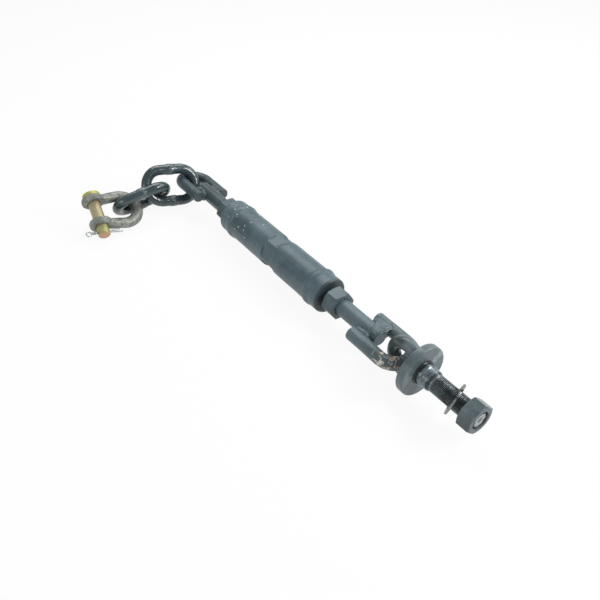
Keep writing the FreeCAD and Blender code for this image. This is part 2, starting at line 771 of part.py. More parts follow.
# Clevis pin: its shaft runs along its own X, with the head at the back ear
pin = newBody("clevis_pin")
pinTurning = sketchOn(pin, "PinTurning", "XY_Plane")
pinRadius = size("pinDiameter") / 2
nose = size("pinLength") - size("pinChamfer")
pinOutline = [(-size("pinHeadHeight"), ZERO), (-size("pinHeadHeight"), size("pinHeadDiameter") / 2)]
pinOutline += [(ZERO, size("pinHeadDiameter") / 2), (ZERO, pinRadius), (nose, pinRadius)]
pinOutline += [(size("pinLength"), pinRadius - size("pinChamfer")), (size("pinLength"), ZERO)]
addPolygon(pinTurning, pinOutline)
pinTurned = turnedAboutX(pin, pinTurning)
crossHole = sketchOn(pin, "CrossHole", "XY_Plane")
holePlace = size("pinLength") - size("splitInset")
addCircle(crossHole, size("splitHole"), holePlace, ZERO)
holeCut = cutAlong(pin, crossHole, size("pinDiameter") * 3)
doc.recompute()
headRims = ringEdges(holeCut, -size("pinHeadHeight"), size("pinHeadDiameter") / 2)
dress(pin, "PartDesign::Fillet", "HeadRound", holeCut, headRims, "Radius", size("pinChamfer"))
pinSeat = Vector(0, -(size("jawWidth") / 2 + size("earThickness") + size("pinHeadGap")).value, 0)
pinAim = FreeCAD.Rotation(AXIS_Z, 90) * FreeCAD.Rotation(AXIS_X, 90)
pin.Placement = shackle.Placement.multiply(FreeCAD.Placement(pinSeat, pinAim))
parts.append(pin)

# Split pin: an eye and two legs side by side through the cross hole, the tips bent apart a little
split = newBody("split_pin")
xyPlane = [f for f in split.Origin.OriginFeatures if f.Role == "XY_Plane"][0]
eyeLoop = split.newObject("PartDesign::AdditiveTorus", "EyeLoop")
eyeLoop.AttachmentSupport = [(xyPlane, "")]
eyeLoop.MapMode = "FlatFace"
bind(eyeLoop, "Radius1", size("splitEye"))
bind(eyeLoop, "Radius2", size("splitWire") / 2)
neckStart = size("splitEye").value
shank = (size("pinDiameter") + size("splitLeg")).value
apart = size("splitWire").value * 0.515
for side in (-1, 1):
    straight = split.newObject("PartDesign::AdditiveCylinder", "Leg" + ("Low" if side < 0 else "High"))
    bind(straight, "Radius", size("splitWire") / 2)
    bind(straight, "Height", size("pinDiameter") + size("splitLeg"))
    straight.Placement = FreeCAD.Placement(Vector(neckStart - size("splitWire").value * 0.2, side * apart, 0), FreeCAD.Rotation(AXIS_Y, 90))
    tip = split.newObject("PartDesign::AdditiveCylinder", "Tip" + ("Low" if side < 0 else "High"))
    bind(tip, "Radius", size("splitWire") / 2)
    bind(tip, "Height", size("splitLeg") * (0.92 if side < 0 else 1.08))
    bendUp = FreeCAD.Rotation(AXIS_Z, side * 5) * FreeCAD.Rotation(AXIS_Y, 90)
    tip.Placement = FreeCAD.Placement(Vector(neckStart + shank - size("splitWire").value * 0.6, side * apart, 0), bendUp)
# the eye stands off the pin by half a leg; the legs run towards the bow
splitSeat = Vector(-(size("pinDiameter") / 2 + size("splitEye") + size("splitLeg") * 0.65).value, 0, 0)
towardBow = FreeCAD.Placement(Vector(0, pinSeat.y + holePlace.value, 0), FreeCAD.Rotation())
split.Placement = shackle.Placement.multiply(towardBow).multiply(FreeCAD.Placement(splitSeat, FreeCAD.Rotation()))
parts.append(split)


# Every object must have recomputed, and every piece must be one valid solid, before any is written
doc.recompute()
for item in doc.Objects:
    if "Invalid" in item.State or "Error" in item.State:
        raise RuntimeError("%s did not recompute: %s" % (item.Label, item.State))
for part in parts:
    shape = part.Shape
    if shape.isNull() or not shape.isValid() or len(shape.Solids) != 1:
        raise RuntimeError("%s is not one valid solid" % part.Label)

os.makedirs("parts", exist_ok=True)
for part in parts:
    part.Shape.exportStep("parts/%s.step" % part.Label)
    box = part.Shape.BoundBox
    print("%-18s volume %9.1f  x %7.1f..%7.1f  y %7.1f..%7.1f  z %6.1f..%6.1f" % (
        part.Label, part.Shape.Volume, box.XMin, box.XMax, box.YMin, box.YMax, box.ZMin, box.ZMax))
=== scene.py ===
import json
import math
import random

import bmesh
import bpy
from mathutils import Matrix, Vector, noise

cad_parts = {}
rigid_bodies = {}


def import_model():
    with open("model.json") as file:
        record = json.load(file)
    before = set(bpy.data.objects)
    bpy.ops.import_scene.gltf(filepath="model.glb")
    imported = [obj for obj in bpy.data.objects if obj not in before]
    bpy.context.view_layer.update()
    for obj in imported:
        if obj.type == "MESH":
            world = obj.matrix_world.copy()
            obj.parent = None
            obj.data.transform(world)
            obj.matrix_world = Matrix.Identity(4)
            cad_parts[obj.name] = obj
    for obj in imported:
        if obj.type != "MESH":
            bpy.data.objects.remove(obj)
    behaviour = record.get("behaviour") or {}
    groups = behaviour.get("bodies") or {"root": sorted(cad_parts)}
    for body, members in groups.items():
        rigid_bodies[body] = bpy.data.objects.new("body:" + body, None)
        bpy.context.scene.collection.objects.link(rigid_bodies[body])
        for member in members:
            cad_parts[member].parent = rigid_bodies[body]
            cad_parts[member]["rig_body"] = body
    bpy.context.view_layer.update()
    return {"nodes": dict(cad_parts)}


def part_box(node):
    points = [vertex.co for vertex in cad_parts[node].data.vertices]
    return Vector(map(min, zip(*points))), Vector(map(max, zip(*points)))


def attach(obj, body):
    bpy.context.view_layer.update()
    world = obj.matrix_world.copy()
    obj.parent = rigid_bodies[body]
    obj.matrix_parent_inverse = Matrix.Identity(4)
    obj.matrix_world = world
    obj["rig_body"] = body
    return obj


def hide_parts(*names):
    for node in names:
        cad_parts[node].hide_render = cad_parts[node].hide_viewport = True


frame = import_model()
print("frame loaded:", len(frame["nodes"]), "nodes")


# A shader socket that takes part in plain sums: every operator adds one Math node
class Sock:
    def __init__(self, maker, socket):
        self.maker = maker
        self.socket = socket

    def math(self, operation, other=None, first=None, clamp=False):
        sockets = {0: self if first is None else first}
        if other is not None:
            sockets[1] = other
        return self.maker.node("ShaderNodeMath", {"operation": operation, "use_clamp": clamp}, sockets)

    def __add__(self, other):
        return self.math("ADD", other)

    def __radd__(self, other):
        return self.math("ADD", self, other)

    def __sub__(self, other):
        return self.math("SUBTRACT", other)

    def __rsub__(self, other):
        return self.math("SUBTRACT", self, other)

    def __mul__(self, other):
        return self.math("MULTIPLY", other)

    def __rmul__(self, other):
        return self.math("MULTIPLY", self, other)

    def __truediv__(self, other):
        return self.math("DIVIDE", other)

    def __rtruediv__(self, other):
        return self.math("DIVIDE", self, other)

    def held(self):  # kept between 0 and 1
        return self.math("ADD", 0.0, clamp=True)

    def within(self, low, high):  # soft step from 0 at low to 1 at high
        span = {"Value": self, "From Min": low, "From Max": high}
        return self.maker.node("ShaderNodeMapRange", {"interpolation_type": "SMOOTHSTEP"}, span, "Result")

    def band(self, low, high, soft):  # 1 between low and high
        return self.within(low - soft, low) * (1.0 - self.within(high, high + soft))


class Maker:
    def __init__(self, tree):
        self.tree = tree

    def node(self, kind, settings=None, sockets=None, out=0):
        node = self.tree.nodes.new(kind)
        for key, value in (settings or {}).items():
            if key == "stops":
                ramp = node.color_ramp
                while len(ramp.elements) < len(value):
                    ramp.elements.new(0.5)
                for element, (at, colour) in zip(ramp.elements, value):
                    element.position = at
                    element.color = colour
            else:
                setattr(node, key, value)
        for key, value in (sockets or {}).items():
            if isinstance(value, Sock):
                self.tree.links.new(value.socket, node.inputs[key])
            else:
                node.inputs[key].default_value = value
        return Sock(self, node.outputs[out])

    def noise(self, scale, detail=4.0, rough=0.55, where=None):
        sockets = {"Vector": where or self.place, "Scale": scale, "Detail": detail, "Roughness": rough}
        return self.node("ShaderNodeTexNoise", None, sockets)

    def cells(self, scale):
        return self.node("ShaderNodeTexVoronoi", None, {"Vector": self.place, "Scale": scale}, "Distance")

    def blend(self, factor, first, second):
        return self.node("ShaderNodeMix", {"data_type": "RGBA"}, {0: factor, 6: first, 7: second}, 2)

    def along(self, centre, axis):  # distance from a point, counted along an axis
        apart = self.node("ShaderNodeVectorMath", {"operation": "SUBTRACT"}, {0: self.place, 1: centre})
        return self.node("ShaderNodeVectorMath", {"operation": "DOT_PRODUCT"}, {0: apart, 1: axis}, "Value")

    def awayFrom(self, centre):
        return self.node("ShaderNodeVectorMath", {"operation": "DISTANCE"}, {0: self.place, 1: centre}, "Value")

    def relief(self, height, strength, distance, normal):
        sockets = {"Strength": strength, "Distance": distance, "Height": height, "Normal": normal}
        return self.node("ShaderNodeBump", None, sockets)


class Finish(Maker):
    def __init__(self, name, edge=0.0005):
        self.material = bpy.data.materials.new(name)
        self.material.use_nodes = True
        super().__init__(self.material.node_tree)
        self.surface = self.tree.nodes["Principled BSDF"]
        self.place = self.node("ShaderNodeTexCoord", None, None, "Object")
        flat = self.node("ShaderNodeNewGeometry", None, None, "Normal")
        self.soft = self.node("ShaderNodeBevel", {"samples": 6}, {"Radius": edge})
        sockets = {0: self.soft, 1: flat}
        likeness = self.node("ShaderNodeVectorMath", {"operation": "DOT_PRODUCT"}, sockets, "Value")
        self.corner = 1.0 - likeness  # 0 on a plain face, more where an edge turns

    def axes(self):
        first = self.node("ShaderNodeSeparateXYZ", None, {0: self.place})
        return [Sock(self, out) for out in first.socket.node.outputs]

    def feed(self, values):
        for key, value in values.items():
            if isinstance(value, Sock):
                self.tree.links.new(value.socket, self.surface.inputs[key])
            else:
                self.surface.inputs[key].default_value = value
        return self.material


def tone(r, g, b):
    return (r, g, b, 1.0)


# Slate paint brushed over steel. A user may change the colours, the gloss and how chipped it is.
paintLook = {
    "barrel": {
        "base": (0.092, 0.146, 0.166), "deep": (0.045, 0.080, 0.094), "pale": (0.33, 0.41, 0.43),
        "gloss": 0.46, "coat": 0.06, "chips": 0.20, "rough": 0.50,
    },
    "link": {
        "base": (0.034, 0.063, 0.071), "deep": (0.013, 0.028, 0.033), "pale": (0.18, 0.24, 0.25),
        "gloss": 0.28, "coat": 0.55, "chips": 0.00, "rough": 0.16,
    },
    "loop": {
        "base": (0.104, 0.152, 0.169), "deep": (0.055, 0.085, 0.096), "pale": (0.36, 0.42, 0.43),
        "gloss": 0.46, "coat": 0.06, "chips": 0.20, "rough": 0.50,
    },
    "leftLoop": {
        "base": (0.056, 0.091, 0.102), "deep": (0.024, 0.044, 0.051), "pale": (0.26, 0.33, 0.34),
        "gloss": 0.42, "coat": 0.12, "chips": 0.15, "rough": 0.40,
    },
    "nut": {
        "base": (0.084, 0.130, 0.147), "deep": (0.038, 0.064, 0.074), "pale": (0.34, 0.41, 0.42),
        "gloss": 0.44, "coat": 0.10, "chips": 0.25, "rough": 0.45,
    },
    "chippedNut": {
        "base": (0.072, 0.112, 0.126), "deep": (0.024, 0.042, 0.049), "pale": (0.56, 0.60, 0.58),
        "gloss": 0.42, "coat": 0.12, "chips": 0.85, "rough": 0.60,
    },
    "anchor": {
        "base": (0.122, 0.166, 0.180), "deep": (0.064, 0.092, 0.102), "pale": (0.42, 0.48, 0.49),
        "gloss": 0.40, "coat": 0.15, "chips": 0.30, "rough": 0.45,
    },
    "anchorNut": {
        "base": (0.072, 0.108, 0.121), "deep": (0.024, 0.038, 0.045), "pale": (0.46, 0.52, 0.53),
        "gloss": 0.36, "coat": 0.22, "chips": 0.45, "rough": 0.45,
    },
}

# Scales of the paint's layers, in waves per metre, and how deep its relief goes
paintGrain = {"film": 95, "cloud": 26, "grain": 1500, "streak": 300, "pit": 430, "pitReach": 0.17, "relief": 0.0006}


def slatePaint(name, look, marks=None):
    f = Finish(name, 0.0006)
    film = f.noise(paintGrain["film"], 5, 0.6)
    cloud = f.noise(paintGrain["cloud"], 3, 0.5)
    grain = f.noise(paintGrain["grain"], 3, 0.6)
    streak = f.noise(paintGrain["streak"], 6, 0.75)
    cover = cloud.within(0.30, 0.70) * 0.65 + film.within(0.35, 0.65) * 0.30
    colour = f.blend(cover, tone(*look["deep"]), tone(*look["base"]))
    worn = (f.corner * 8.0 * film.within(0.40, 0.62)).held()
    colour = f.blend(worn * 0.8, colour, tone(*look["pale"]))
    scuff = streak.within(0.70 - 0.10 * look["chips"], 0.76 - 0.08 * look["chips"])
    colour = f.blend(scuff * (0.30 + 0.5 * look["chips"]), colour, tone(*look["pale"]))
    pits = 1.0 - f.cells(paintGrain["pit"]).within(0.0, paintGrain["pitReach"])
    colour = f.blend(pits * 0.5, colour, tone(*look["deep"]))
    height = film * 0.55 + cloud * 0.40 + grain * 0.12 + scuff * 0.12 - pits * 0.10
    rough = look["gloss"] + (film - 0.5) * 0.22 + scuff * 0.18
    if marks:
        colour, height, rough = marks(f, colour, height, rough)
    return f.feed({
        "Base Color": colour,
        "Roughness": rough,
        "Normal": f.relief(height, look["rough"], paintGrain["relief"], f.soft),
        "Specular IOR Level": 0.5,
        "Coat Weight": look["coat"],
        "Coat Roughness": 0.16,
    })


# White paint specks thrown over the left half of the barrel, painted floor reflection that makes its lower half
# lighter and browner, and painted shade on the end faces of the sockets
barrelWear = {
    "speckScale": 175,
    "speckSize": (0.11, 0.21),
    "speckFade": (-0.318, -0.250),   # along the row: all specks left of the first, none right of the second
    "speckTone": (0.66, 0.70, 0.68),
    "chipScale": 420,
    "chipFade": (-0.345, -0.322),
    "chipTone": (0.44, 0.50, 0.49),
    # Painted floor reflection: below the axis the barrel's paint is made lighter and browner
    "floorReflectionScale": 160,
    "floorReflectionFade": (-0.020, -0.004),    # height
    "floorReflectionTone": (0.30, 0.29, 0.26),
    # Painted shade on the socket end faces: right of the first span and left of the second the paint goes dark
    "rightEndShade": (-0.1512, -0.1494),
    "leftEndShade": (-0.3536, -0.3520),
    "endShadeTone": (0.020, 0.028, 0.032),
    "brushScale": (60, 900, 900),
}


def barrelMarks(f, colour, height, rough):
    wear = barrelWear
    x, y, z = f.axes()
    left = 1.0 - x.within(*wear["speckFade"])
    speck = (1.0 - f.cells(wear["speckScale"]).within(*wear["speckSize"]))
    speck = speck * f.noise(80, 2, 0.5).within(0.50, 0.54) * left
    colour = f.blend(speck * 0.95, colour, tone(*wear["speckTone"]))
    chip = f.noise(wear["chipScale"], 4, 0.7).within(0.60, 0.66) * (1.0 - x.within(*wear["chipFade"]))
    colour = f.blend(chip * 0.8, colour, tone(*wear["chipTone"]))
    # painted floor reflection: lighter, browner paint towards the bottom, a little rougher there too
    low = 1.0 - z.within(*wear["floorReflectionFade"])
    floorReflection = f.noise(wear["floorReflectionScale"], 4, 0.6).within(0.40, 0.62) * low
    colour = f.blend(floorReflection * 0.22, colour, tone(*wear["floorReflectionTone"]))
    # painted shade: the end faces of the sockets are darkened
    endShade = x.within(*wear["rightEndShade"]) + (1.0 - x.within(*wear["leftEndShade"]))
    colour = f.blend(endShade.held() * 0.85, colour, tone(*wear["endShadeTone"]))
    along = f.node("ShaderNodeMapping", None, {"Vector": f.place, "Scale": wear["brushScale"]})
    brush = f.noise(1.0, 3, 0.6, along)
    return colour, height + speck * 0.6 + brush * 0.10, rough + floorReflection * 0.12


# Paint knocked off the right loop: white filler and brown rust
loopWound = {
    "centre": (-0.0325, -0.0190, 0.0),
    "reach": 0.0190,
    "flake": 150,
    "filler": (0.68, 0.64, 0.58),
    "rust": (0.30, 0.17, 0.10),
    "rustFade": (-0.036, -0.029),    # rust lies to the right of this along the row
    "core": (0.10, 0.09, 0.075),
    "halo": (0.045, 0.052, 0.050),
}


def loopMarks(f, colour, height, rough):
    wound = loopWound
    near = 1.0 - f.awayFrom(wound["centre"]).within(wound["reach"] * 0.55, wound["reach"])
    flakes = f.noise(wound["flake"], 6, 0.70)
    bare = flakes.within(0.515, 0.545) * near
    core = flakes.within(0.60, 0.64) * near
    brown = f.noise(240, 3, 0.6).within(0.46, 0.56) * f.axes()[0].within(*wound["rustFade"])
    colour = f.blend(bare, colour, f.blend(brown, tone(*wound["filler"]), tone(*wound["rust"])))
    colour = f.blend(core * 0.7, colour, tone(*wound["core"]))
    halo = f.noise(90, 4, 0.6).within(0.45, 0.60) * near * (1.0 - bare)
    return f.blend(halo * 0.5, colour, tone(*wound["halo"])), height + bare * 0.7, rough + bare * 0.25


# The eye under the flange is dark and greasy where the loop rubs it
eyeWear = {
    "rubFrom": -0.0520,
    "rubTo": -0.0290,
    "rubSoft": 0.006,
    "rubTone": (0.022, 0.027, 0.029),
    "smearFade": (-0.0092, -0.0086),
    "smearTone": (0.44, 0.50, 0.51),
}


def eyeMarks(f, colour, height, rough):
    wear = eyeWear
    x = f.axes()[0]
    rubbed = x.band(wear["rubFrom"], wear["rubTo"], wear["rubSoft"]) * f.noise(70, 4, 0.6).within(0.34, 0.56)
    colour = f.blend(rubbed * 0.72, colour, tone(*wear["rubTone"]))
    smear = f.noise(55, 5, 0.65).within(0.52, 0.66) * x.within(*wear["smearFade"])
    colour = f.blend(smear * 0.45, colour, tone(*wear["smearTone"]))
    return colour, height, rough - rubbed * 0.10


# Weld marks on the links: the butt weld in each side is a little bruised
linkWelds = {
    "big": [(-0.4726, -0.0304, 0.0205), (-0.4533, -0.0399, -0.0167)],
    "small": [(-0.4546, -0.0826, 0.0090), (-0.4761, -0.0769, -0.0194)],
    "scale": 380,
    "fade": (0.0070, 0.0105),        # distance from the weld
    "tone": (0.30, 0.37, 0.38),
}


def weldMarks(link):
    def marks(f, colour, height, rough):
        flake = f.noise(linkWelds["scale"], 4, 0.7).within(0.50, 0.60)
        for spot in linkWelds[link]:
            bruise = (1.0 - f.awayFrom(spot).within(*linkWelds["fade"])) * flake
            colour = f.blend(bruise * 0.65, colour, tone(*linkWelds["tone"]))
            height = height + bruise * 0.5
        return colour, height, rough
    return marks


# Drop-forged steel, scaled in the hollows and rubbed on the crown
forgedLook = {
    "dark": (0.060, 0.066, 0.060),
    "mid": (0.135, 0.145, 0.132),
    "pale": (0.30, 0.315, 0.285),
    "edge": (0.42, 0.43, 0.39),
    "metal": 0.45,
    "gloss": 0.44,
    "relief": 0.34,
}


def bareForging(name):
    look = forgedLook
    f = Finish(name, 0.0008)
    cloud = f.noise(48, 4, 0.6)
    pit = f.noise(700, 5, 0.7)
    scale = f.noise(190, 5, 0.65)
    colour = f.blend(cloud.within(0.36, 0.64), tone(*look["mid"]), tone(*look["pale"]))
    colour = f.blend(scale.within(0.50, 0.66) * 0.65, colour, tone(*look["dark"]))
    colour = f.blend((f.corner * 5.0).held() * 0.35, colour, tone(*look["edge"]))
    return f.feed({
        "Base Color": colour,
        "Metallic": look["metal"],
        "Roughness": look["gloss"] + (pit - 0.5) * 0.30 + scale * 0.10,
        "Normal": f.relief(pit * 0.3 + scale * 0.5 + cloud * 0.5, look["relief"], 0.0006, f.soft),
    })


# Yellow chromate on the clevis pin: pale straw with a green head and a pink end
pinLook = {
    "centre": (-0.46476, -0.14425, -0.0030),
    "axis": (0.8616, -0.1508, -0.4847),
    "headAway": 0.0278,              # from the centre back to the head's top
    "length": 0.0640,
    "stops": [
        (0.00, tone(0.50, 0.50, 0.13)),
        (0.09, tone(0.46, 0.47, 0.16)),
        (0.16, tone(0.44, 0.38, 0.23)),
        (0.72, tone(0.46, 0.41, 0.26)),
        (0.88, tone(0.42, 0.45, 0.18)),
        (1.00, tone(0.50, 0.27, 0.17)),
    ],
    "pink": (0.50, 0.28, 0.20),
    "dull": (0.22, 0.20, 0.11),
}


def yellowZinc(name):
    look = pinLook
    f = Finish(name, 0.0005)
    drift = f.noise(95, 3, 0.55)
    fine = f.noise(700, 4, 0.65)
    reach = (f.along(look["centre"], look["axis"]) + look["headAway"]) / look["length"] + (drift - 0.5) * 0.22
    tint = f.node("ShaderNodeValToRGB", {"stops": look["stops"]}, {"Fac": reach})
    tint = f.blend(f.noise(150, 3, 0.6).within(0.52, 0.66) * 0.35, tint, tone(*look["pink"]))
    tint = f.blend(fine.within(0.56, 0.72) * 0.55, tint, tone(*look["dull"]))
    return f.feed({
        "Base Color": tint,
        "Metallic": 0.55,
        "Roughness": 0.40 + (fine - 0.5) * 0.28,
        "Normal": f.relief(fine * 0.6 + drift * 0.4, 0.35, 0.0003, f.soft),
    })


# Bright wire of the split pin and dull steel of the ring: from the dark to the light tone in clouds
wireLook = {
    "split_pin": {"light": 0.60, "dark": 0.38},
    "split_ring": {"light": 0.30, "dark": 0.10},
    "edge": (0.62, 0.66, 0.66),
}


def platedWire(name, look):
    light, dark = look["light"], look["dark"]
    f = Finish(name, 0.0003)
    fine = f.noise(800, 4, 0.6)
    cloud = f.noise(230, 4, 0.6)
    colour = f.blend(cloud.within(0.38, 0.62), tone(dark * 0.92, dark, dark), tone(light * 0.95, light, light))
    colour = f.blend((f.corner * 6.0).held() * 0.6, colour, tone(*wireLook["edge"]))
    return f.feed({
        "Base Color": colour,
        "Metallic": 0.75,
        "Roughness": 0.34 + (fine - 0.5) * 0.25,
        "Normal": f.relief(fine * 0.6 + cloud * 0.4, 0.35, 0.0002, f.soft),
    })


# Turned end of the anchor: painted shade where the boss meets the flange, painted dark reflection round the shank,
# overspray on the boss, painted highlight on its turned edges, oiled dark thread
studLook = {
    # near-black tone for the painted shade by the flange and the painted dark reflection on the shank
    "shadeAndReflection": (0.010, 0.013, 0.015),
    "spray": (0.20, 0.255, 0.275),
    "blot": (0.065, 0.085, 0.095),
    # painted highlight laid on the boss's turned edges
    "rim": (0.52, 0.58, 0.60),
    "root": (0.014, 0.017, 0.020),
    "crest": (0.20, 0.235, 0.25),
    "end": (0.34, 0.37, 0.37),
    "crestRadius": (0.00935, 0.00990),
    "flangeShade": (0.0030, 0.0048),    # painted shade lies left of this
    "shankReflection": (0.0150, 0.0185),     # and a painted dark reflection between these
    "threadFrom": (0.0172, 0.0185),
    "endFrom": (0.0738, 0.0741),
    "endRadius": (0.0070, 0.0078),
}


def oiledSteel(name):
    look = studLook
    f = Finish(name, 0.0002)
    x, y, z = f.axes()
    out = (y * y + z * z).math("SQRT")
    drift = f.noise(100, 4, 0.6)
    fine = f.noise(1300, 4, 0.65)
    blot = f.noise(150, 4, 0.65)
    swayed = x + (drift - 0.5) * 0.006
    rubbed = out.within(*look["crestRadius"]) * (0.35 + 0.65 * drift.within(0.35, 0.6))
    thread = f.blend(rubbed.held(), tone(*look["root"]), tone(*look["crest"]))
    # painted shade by the flange and a painted dark reflection round the shank
    shadeAndReflection = (1.0 - swayed.within(*look["flangeShade"])) + swayed.band(*look["shankReflection"], 0.0012) * 0.8
    boss = f.blend(blot.within(0.36, 0.62) * 0.75, tone(*look["spray"]), tone(*look["blot"]))
    # painted highlight: the boss's edges are made light
    boss = f.blend((f.corner * 9.0).held(), boss, tone(*look["rim"]))
    boss = f.blend(shadeAndReflection.held() * 0.92, boss, tone(*look["shadeAndReflection"]))
    colour = f.blend(x.within(*look["threadFrom"]), boss, thread)
    face = x.within(*look["endFrom"]) * (1.0 - out.within(*look["endRadius"]))
    colour = f.blend(face * (0.35 + 0.65 * blot.within(0.35, 0.55)), colour, tone(*look["end"]))
    return f.feed({
        "Base Color": colour,
        "Metallic": 0.55,
        "Roughness": 0.30 + (blot - 0.5) * 0.30,
        "Normal": f.relief(fine * 0.2 + blot * 0.8, 0.20, 0.0003, f.soft),
    })


barrelPaint = slatePaint("barrelPaint", paintLook["barrel"], barrelMarks)
bigLinkPaint = slatePaint("bigLinkPaint", paintLook["link"], weldMarks("big"))
smallLinkPaint = slatePaint("smallLinkPaint", paintLook["link"], weldMarks("small"))
leftLoopPaint = slatePaint("leftLoopPaint", paintLook["leftLoop"])
loopPaint = slatePaint("loopPaint", paintLook["loop"])
woundedPaint = slatePaint("woundedPaint", paintLook["loop"], loopMarks)
nutPaint = slatePaint("nutPaint", paintLook["nut"])
chippedNutPaint = slatePaint("chippedNutPaint", paintLook["chippedNut"])
anchorPaint = slatePaint("anchorPaint", paintLook["anchor"], eyeMarks)
anchorNutPaint = slatePaint("anchorNutPaint", paintLook["anchorNut"])
forging = bareForging("bareForging")
zincGold = yellowZinc("yellowZinc")
wireZinc = platedWire("wireZinc", wireLook["split_pin"])
ringSteel = platedWire("ringSteel", wireLook["split_ring"])
studSteel = oiledSteel("studSteel")
print("finishes made:", len(bpy.data.materials))


def addPiece(name, mesh, finish, node, body):
    piece = bpy.data.objects.new(name, mesh)
    bpy.context.scene.collection.objects.link(piece)
    mesh.materials.clear()
    mesh.materials.append(finish)
    for face in mesh.polygons:
        face.use_smooth = True
    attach(piece, body)
    if node:
        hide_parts(node)
    return piece


def bodyOf(node):
    return frame["nodes"][node]["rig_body"]


# Skin over rows of points: point(row, step) gives each place
def meshFrom(name, rows, around, point, closed=True, capped=True):
    verts = [point(row, step) for row in range(rows) for step in range(around)]
    faces = []
    for row in range(rows - 1):
        near, far = row * around, (row + 1) * around
        for step in range(around if closed else around - 1):
            after = (step + 1) % around
            faces.append((near + step, near + after, far + after, far + step))
    if capped:
        faces.append(tuple(reversed(range(around))))
        faces.append(tuple((rows - 1) * around + step for step in range(around)))
    mesh = bpy.data.meshes.new(name)
    mesh.from_pydata(verts, [], faces)
    mesh.update()
    return mesh


def ease(value, low, high):
    share = min(1.0, max(0.0, (value - low) / (high - low)))
    return share * share * (3.0 - 2.0 * share)


def swell(value, half):
    return math.exp(-((value / half) ** 2))


def turnApart(turn, other):
    return (turn - other + 180.0) % 360.0 - 180.0


def rounded(value, power):  # squares a sine or cosine off
    return math.copysign(abs(value) ** power, value)


rowLevel = -0.0035  # height of the barrel's axis

barrelForm = {
    "from": -0.3330,
    "to": -0.1690,
    "radius": 0.02195,
    "flatHalf": 0.0199,              # half of the size across the spanner flats
    "flatTurn": 4.5,
    "flatFrom": -0.2586,
    "flatTo": -0.2340,
    "flatWall": 0.0006,              # length of the sharp wall at the left of each flat
    "scoop": 0.0062,                 # how long the cutter runs out at the right
    "lean": 0.0022,
    "bow": 0.0012,
    "facetHalf": 0.02128,            # long shallow face between the flats and the right bead
    "facetTurn": 139.0,
    "facetStart": (-0.0010, 0.0060),  # after the flats' right end
    "facetEnd": (-0.1680, -0.1666),
    "seamTurn": 156.0,
    "seamDeep": 0.00075,
    "seamHalf": 1.9,
    "seamStart": (-0.3285, -0.3265),
    "seamEnd": (-0.2960, -0.2840),
    "lipTurn": 4.4,                  # raised lip beside the seam
    "lipHalf": 2.0,
    "lipShare": 0.35,
    "gougeAt": -0.1672,
    "gougeTurn": 150.0,
    "gougeLong": 0.0011,
    "gougeWide": 4.2,
    "gougeDeep": 0.0009,
    "around": 216,
    "step": 0.0010,
    "uneven": 0.00012,
}


# Barrel tube: spanner flats with a sharp left wall and a scooped right end, a seam and a shallow face
def makeBarrel():
    form = barrelForm
    rows = []
    x = form["from"]
    while x < form["to"]:
        rows.append(x)
        byWall = form["flatFrom"] - 0.0012 < x < form["flatFrom"] + 0.0016
        x += form["step"] * (0.2 if byWall else 1.0)
    rows.append(form["to"])

    def flatDepth(x, apart):
        skew = form["lean"] * math.sin(math.radians(apart * 3.0)) + form["bow"] * (apart / 30.0) ** 2
        wall = form["flatFrom"] + skew * 0.4
        end = form["flatTo"] - skew
        return ease(x, wall, wall + form["flatWall"]) * (1.0 - ease(x, end - form["scoop"], end))

    def point(row, step):
        x = rows[row]
        turn = 360.0 * step / form["around"]
        radius = form["radius"]
        apart = (turn - form["flatTurn"]) % 60.0 - 30.0
        flat = form["flatHalf"] / math.cos(math.radians(apart))
        radius += (min(radius, flat) - radius) * flatDepth(x, apart)
        lean = turnApart(turn, form["facetTurn"])
        if abs(lean) < 60:
            facet = form["facetHalf"] / math.cos(math.radians(lean))
            share = ease(x, *[form["flatTo"] + away for away in form["facetStart"]])
            radius += (min(radius, facet) - radius) * share * (1.0 - ease(x, *form["facetEnd"]))
        seam = turnApart(turn, form["seamTurn"])
        run = ease(x, *form["seamStart"]) * (1.0 - ease(x, *form["seamEnd"]))
        radius -= form["seamDeep"] * run * swell(seam, form["seamHalf"])
        radius += form["seamDeep"] * form["lipShare"] * run * swell(seam - form["lipTurn"], form["lipHalf"])
        gouge = swell(x - form["gougeAt"], form["gougeLong"])
        gouge *= swell(turnApart(turn, form["gougeTurn"]), form["gougeWide"])
        radius -= form["gougeDeep"] * gouge
        angle = math.radians(turn)
        spot = Vector((x * 60.0, math.cos(angle) * 1.6, math.sin(angle) * 1.6))
        radius += form["uneven"] * (noise.noise(spot) + 0.4 * noise.noise(spot * 3.1)) - form["uneven"]
        return (x, radius * math.cos(angle), rowLevel + radius * math.sin(angle))

    mesh = meshFrom("barrelShell", len(rows), form["around"], point)
    addPiece("barrelShell", mesh, barrelPaint, "barrel_tube", "barrel")


beadForm = {
    "foot": 0.02175,                 # radius where the bead leaves the barrel
    "limit": 0.02395,
    "width": 0.0118,
    "height": 0.0013,
    "ripple": 0.00010,
    "ripples": 54,
    "waver": 0.0010,
    "lapRise": 0.30,
    "lapHalf": 0.16,
    "steps": 170,
    "across": 20,
    "seeds": {"right_bead": 1, "left_bead": 2},
}


